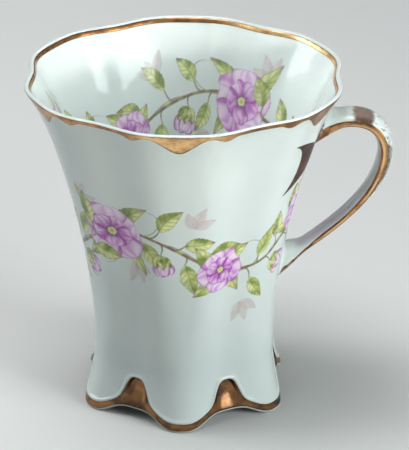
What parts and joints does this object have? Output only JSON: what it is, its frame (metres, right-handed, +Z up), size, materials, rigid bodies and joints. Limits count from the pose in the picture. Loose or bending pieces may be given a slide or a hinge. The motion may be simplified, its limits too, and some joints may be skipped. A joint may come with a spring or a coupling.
{
  "type": "chocolate cup",
  "caption": "Tall flared porcelain cup with soft lobes, a toed foot with arched gilded niches, a gilded dripping rim and one ear-shaped strap handle.",
  "frame": {"origin": "on the cup's axis, in the plane of the table that the six toes stand on", "axes": "+Z up along the cup's axis, +X towards the handle, Y across the handle"},
  "size_m": [0.0928, 0.0826, 0.088],
  "materials": {
    "porcelain": "glossy clear glaze over cool white porcelain, unglazed on the standing edge",
    "luting": "glazed slip, slightly darker in the joint line",
    "gilding": "burnished gold, rubbed through to brown on the proud edges"
  },
  "bodies": {
    "root": {"cup_body": "porcelain", "handle": "porcelain", "upper_luting": "luting", "lower_luting": "luting", "rim_gilding": "gilding", "inner_rim_line": "gilding", "foot_gilding": "gilding", "handle_gilding": "gilding", "root_flourish": "gilding"}
  },
  "joints": []
}
